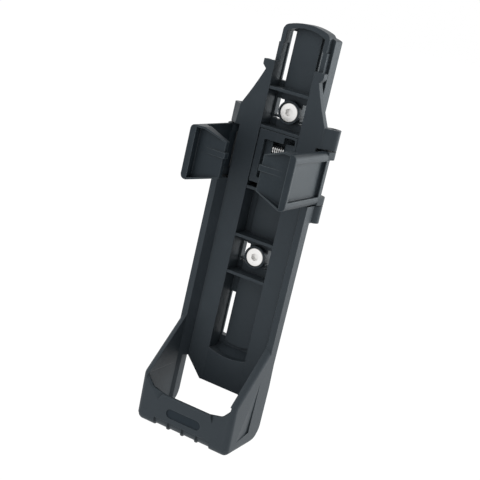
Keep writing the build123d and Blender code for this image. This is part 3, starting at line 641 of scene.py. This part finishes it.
for level in ("upper", "lower"):
    for side, sign in (("right", 1), ("left", -1)):
        half = half_coil(coil, f"spring_{level}_{side}", sign)
        half.location = (0, -SPRING_DEPTH, spring_middle(level))
        apply_place(half)
        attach(half, "cradle")
        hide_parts(f"closing_spring_{level}")
        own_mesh(half)
        print(half.name, face_count(half), "triangles")
only(coil)
bpy.ops.object.delete()

# %% [markdown]
# Two stainless M5 screws with low heads hold the bracket to the frame. The head is a cylinder whose
# front edge is bevelled, as a lathe would leave it, and a thinner cylinder joined below it is the
# neck. The hexagon socket could be inset and pushed in, but a round face has no six corners to start
# from, so it is a cutter taken away with the Boolean modifier, like the broach of the real one.

# %% Screw head
HEAD_RADIUS = 4.1 * MM
HEAD_UNDER = 2.8 * MM
HEAD_HEIGHT = 3.2 * MM
HEAD_EDGE = 0.3 * MM
HEAD_SIDES = 64
NECK_RADIUS = 2.4 * MM
NECK_SIDES = 48
SOCKET_FLATS = 3.0 * MM
SOCKET_DEPTH = 1.6 * MM
JOIN = 0.1 * MM
CUT_BEYOND = 1.0 * MM
NEAR = 0.01 * MM
FORWARD = (math.radians(90), 0, 0)


def rod(name, radius, near, far, sides):
    """Cylinder along Y between two depths in front of the mounting face."""
    middle = (0, -(near + far) / 2, 0)
    bpy.ops.mesh.primitive_cylinder_add(
        vertices=sides, radius=radius, depth=far - near, location=middle, rotation=FORWARD
    )
    made = bpy.context.object
    made.name = name
    apply_place(made)
    return made


def cut(piece, cutter, operation="DIFFERENCE"):
    """Takes a cutter away from a piece, or joins or intersects them, and deletes the cutter."""
    apply_modifier(piece, "BOOLEAN", operation=operation, object=cutter, solver="EXACT")
    only(cutter)
    bpy.ops.object.delete()


def screw_head():
    """Head with a rounded edge, a hexagon socket and the neck below."""
    front = HEAD_UNDER + HEAD_HEIGHT
    head = rod("head", HEAD_RADIUS, HEAD_UNDER, front, HEAD_SIDES)
    pick(head, "FACE", lambda f: f.normal.y < -0.9 and abs(f.center.y + front) < NEAR)
    bpy.ops.mesh.bevel(offset=HEAD_EDGE, segments=4, affect="EDGES")
    object_mode()
    neck = rod("neck", NECK_RADIUS, -JOIN, HEAD_UNDER + 2 * JOIN, NECK_SIDES)
    cut(head, neck, "UNION")
    corners = SOCKET_FLATS / math.sqrt(3)
    hexagon = rod("hexagon", corners, front - SOCKET_DEPTH, front + CUT_BEYOND, 6)
    cut(head, hexagon)
    return head


head = screw_head()
print("head:", face_count(head), "triangles")

# %% [markdown]
# The thread stands out behind the bracket, where it is seen against the light, so it is a real one
# and not a bump on a cylinder. One pitch of its V profile is extruded point by point in the plane of
# the axis, and the Screw modifier winds and repeats it. A blank with a chamfered tip then trims it to
# length by an intersection, as the thread is rolled on a pointed blank in the works.

# %% Screw thread
THREAD_RADIUS = 2.5 * MM
THREAD_LENGTH = 9.2 * MM
THREAD_PITCH = 0.8 * MM
THREAD_DEPTH = 0.43 * MM
THREAD_STEPS = 32
TIP_CHAMFER = 0.7 * MM
BLANK_MARGIN = 0.2 * MM
BLANK_SIDES = 48
SHANK_START = -0.05 * MM
BLANK_START = 0.06 * MM
TIP_TRIM = 0.001 * MM


def thread_profile():
    """One pitch of a V thread: a zigzag line in the plane of the screw's axis."""
    bpy.ops.mesh.primitive_plane_add(size=THREAD_PITCH, location=(0, 0, 0))
    line = bpy.context.object
    line.name = "thread"
    pick(line, "VERT", lambda v: True)
    bpy.ops.mesh.merge(type="CENTER")
    bpy.ops.transform.translate(value=(THREAD_RADIUS, 0, 0))
    flat = THREAD_PITCH / 8
    flank = (THREAD_PITCH - 3 * flat) / 2
    for step in ((0, flat), (-THREAD_DEPTH, flank), (0, 2 * flat), (THREAD_DEPTH, flank)):
        bpy.ops.mesh.extrude_region_move(TRANSFORM_OT_translate={"value": (step[0], step[1], 0)})
    object_mode()
    return line


def threaded_shank():
    """Thread from the mounting face back, with a pointed tip."""
    turns = math.ceil(THREAD_LENGTH / THREAD_PITCH) + 2
    line = thread_profile()
    line.location = (0, -1.5 * THREAD_PITCH, 0)
    apply_place(line)
    apply_modifier(
        line,
        "SCREW",
        axis="Y",
        screw_offset=THREAD_PITCH,
        iterations=turns,
        steps=THREAD_STEPS,
        render_steps=THREAD_STEPS,
        use_merge_vertices=True,
        merge_threshold=WELD,
        use_smooth_shade=False,
    )
    weld(line)
    pick(line, "VERT", lambda v: True)
    trim((0, SHANK_START, 0), (0, -1, 0))
    trim((0, THREAD_LENGTH, 0), (0, 1, 0))
    bpy.ops.mesh.select_all(action="SELECT")
    bpy.ops.mesh.normals_make_consistent(inside=False)
    object_mode()
    tip = TIP_TRIM - THREAD_LENGTH
    blank = rod("blank", THREAD_RADIUS + BLANK_MARGIN, tip, BLANK_START, BLANK_SIDES)
    pick(blank, "FACE", lambda f: f.normal.y > 0.9)
    bpy.ops.mesh.bevel(offset=TIP_CHAMFER, segments=1, affect="EDGES")
    object_mode()
    cut(line, blank, "INTERSECT")
    return line


shank = threaded_shank()
cut(head, shank, "UNION")
print("whole screw:", face_count(head), "triangles")

# %% [markdown]
# The heads are turned and lightly tumbled, so they are bright and soft rather than mirror-like. Rings
# around the axis, a little uneven, go to the bump and the roughness. The edge of the head and the
# walls of the socket are painted a darker grey as painted shade. Both screws share the material: the
# height is folded about the middle of the bracket, so one set of rings serves both.

# %% Screw steel
SCREW_HEIGHT = 32.0 * MM
RIM_START = 3.65 * MM
RIM_SHARPNESS = 4000.0
SOCKET_REACH = 1.9 * MM
# How strongly the socket walls are darkened, and the grey of this painted shade.
SOCKET_SHADE_SHARE = 0.5
SCREW_SHADE_GREY = (0.30, 0.30, 0.30, 1)
HEAD_DULL = (0.84, 0.83, 0.81, 1)
HEAD_BRIGHT = (0.96, 0.95, 0.94, 1)
HEAD_CLOUD_SCALE = 420.0
RING_SCALE = 9000.0
RING_DEPTH = 0.01 * MM
HEAD_ROUND = 0.12 * MM


def turned_steel():
    """Bright steel with fine turned rings around the screw's axis."""
    recipe = new_recipe("screw_steel")
    place = recipe.place()
    across = recipe.axis(place, "X")
    height = abs(recipe.axis(place, "Z")) - SCREW_HEIGHT
    radius = (across * across + height * height) ** 0.5
    clouds = recipe.noise(place, HEAD_CLOUD_SCALE, 3.0, 0.6)
    turning = {"W": radius, "Scale": RING_SCALE, "Detail": 2.0}
    rings = recipe.add("ShaderNodeTexNoise", {"noise_dimensions": "1D"}, turning)
    rounded = recipe.add("ShaderNodeBevel", {"samples": 8}, {"Radius": HEAD_ROUND})
    forward = abs(recipe.axis(recipe.add("ShaderNodeNewGeometry", output="Normal"), "Y"))
    # The socket walls and the edge of the head are darkened towards grey: painted shade.
    wall = (1 - forward * 2.0).clamped() * ((SOCKET_REACH - radius) * CRISP).clamped()
    rim = ((radius - RIM_START) * RIM_SHARPNESS).clamped()
    painted_shade = (wall * SOCKET_SHADE_SHARE + rim).clamped()
    tone = (clouds * 0.7 + rings * 0.3).clamped()
    return recipe.principled(
        {
            "Base Color": recipe.tint(painted_shade, recipe.tint(tone, HEAD_DULL, HEAD_BRIGHT), SCREW_SHADE_GREY),
            "Metallic": 1.0,
            "Roughness": 0.38 + (rings - 0.5) * 0.15 + (clouds - 0.5) * 0.12,
            "Normal": recipe.bump(rings, 0.35, RING_DEPTH, rounded),
        }
    )


screw_steel = turned_steel()
head.data.materials.clear()
head.data.materials.append(screw_steel)
only(head)
bpy.ops.object.shade_smooth_by_angle(angle=math.radians(30))
for level, sign in (("upper", 1), ("lower", -1)):
    screw = copy_of(head, f"screw_{level}")
    screw.location = (0, 0, sign * SCREW_HEIGHT)
    apply_place(screw)
    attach(screw, "cradle")
    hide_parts(f"mounting_screw_{level}")
    print(screw.name, "at height", round(sign * SCREW_HEIGHT / MM), "mm")
only(head)
bpy.ops.object.delete()
